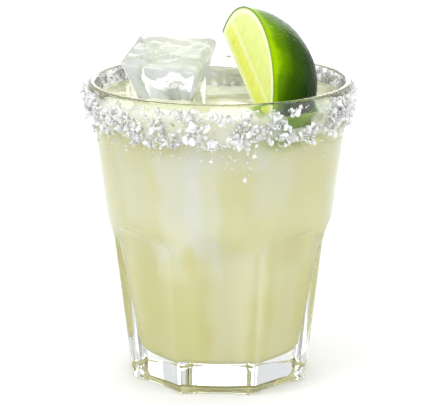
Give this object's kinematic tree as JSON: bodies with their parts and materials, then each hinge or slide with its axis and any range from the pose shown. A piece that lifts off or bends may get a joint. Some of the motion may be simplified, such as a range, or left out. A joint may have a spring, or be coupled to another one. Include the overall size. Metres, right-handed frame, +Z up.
{
  "type": "margarita cocktail",
  "caption": "Margarita in a heavy panelled tumbler with a salted rim, ice cubes and a lime wedge, standing on its flat foot.",
  "frame": {"origin": "centre of the glass's foot, on the surface that it stands on", "axes": "+Z up along the glass's axis, -Y towards the side that the cut face of the lime is seen from, +X to the right of that view, where the lime is"},
  "size_m": [0.0911, 0.0887, 0.1251],
  "materials": {
    "glass": "clear, polished",
    "drink": "cloudy pale yellow-green liquid",
    "ice": "wet, slightly cloudy",
    "lime": "glossy pored rind, moist flesh",
    "salt": "coarse white crystals"
  },
  "bodies": {
    "root": {"tumbler": "glass", "drink": "drink", "ice_cube_large": "ice", "ice_cube_back": "ice", "lime_wedge": "lime", "salt_rim": "salt"}
  },
  "joints": []
}
